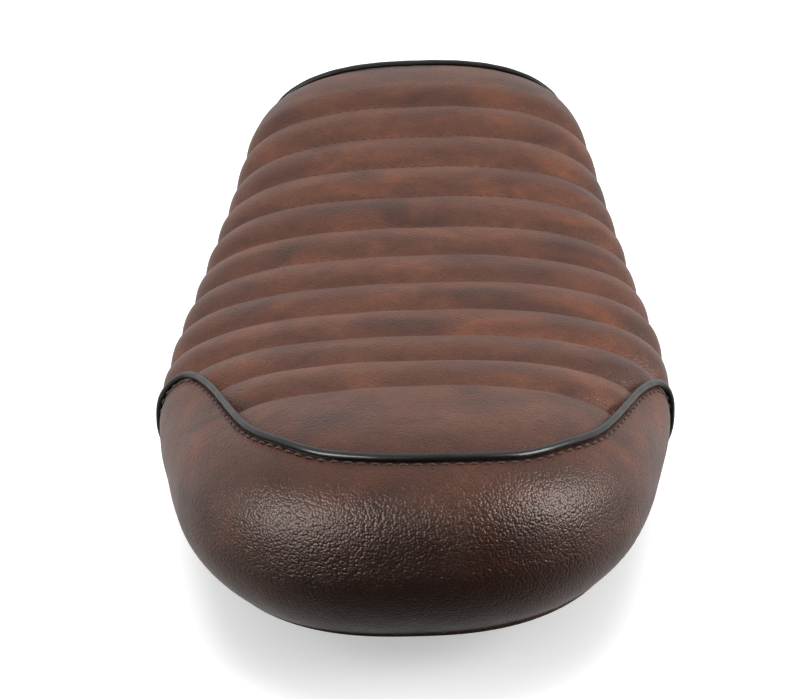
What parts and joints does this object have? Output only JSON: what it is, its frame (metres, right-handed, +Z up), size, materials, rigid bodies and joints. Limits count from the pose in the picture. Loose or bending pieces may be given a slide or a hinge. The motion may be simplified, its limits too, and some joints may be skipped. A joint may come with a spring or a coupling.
{
  "type": "motorcycle seat",
  "caption": "Padded motorcycle seat with a transversely ribbed saddle-shaped top, piped tail panel, moulded pan, mounting studs and swivelling slotted brackets.",
  "frame": {"origin": "on the plane of the stud tips, under the middle of the seat", "axes": "+Y is the direction of travel, towards the nose; +X is the rider's right; +Z is up"},
  "size_m": [0.2573, 0.523, 0.121],
  "materials": {
    "brown_leatherette": "semi-gloss pebble grain, mottled",
    "cover_backing": "matt knitted backing",
    "black_piping": "glossy",
    "brown_thread": "matt",
    "moulded_foam": "matt open cell",
    "quilting_foam": "matt open cell",
    "pan_plastic": "fine texture",
    "black_rubber": "matt",
    "zinc_steel": "bright zinc plate",
    "brass": "satin",
    "black_steel": "satin powder coat"
  },
  "bodies": {
    "seat": {"seat_pan": "pan_plastic", "foam_core": "moulded_foam", "quilting_foam": "quilting_foam", "top_cover": "brown_leatherette", "rear_cover": "brown_leatherette", "front_cover": "brown_leatherette", "cover_hem": "cover_backing", "rear_piping": "black_piping", "front_piping": "black_piping", "rib_stitching": "brown_thread", "rear_topstitch": "brown_thread", "front_topstitch": "brown_thread", "hem_staples": "zinc_steel", "threaded_inserts": "brass", "mounting_studs": "zinc_steel", "front_washers": "zinc_steel", "front_nuts": "zinc_steel", "pivot_bushes": "zinc_steel", "bracket_washers": "zinc_steel", "bracket_nuts": "zinc_steel", "rubber_buffers": "black_rubber", "buffer_screws": "zinc_steel"},
    "left_bracket": {"left_bracket": "black_steel"},
    "right_bracket": {"right_bracket": "black_steel"}
  },
  "joints": [
    {"name": "left_bracket_swivel", "type": "hinge", "parent": "seat", "child": "left_bracket", "pos_m": [-0.045, -0.15, 0.018], "axis": [0, 0, 1], "range_deg": [-40, 40]},
    {"name": "right_bracket_swivel", "type": "hinge", "parent": "seat", "child": "right_bracket", "pos_m": [0.045, -0.15, 0.018], "axis": [0, 0, 1], "range_deg": [-40, 40]}
  ]
}
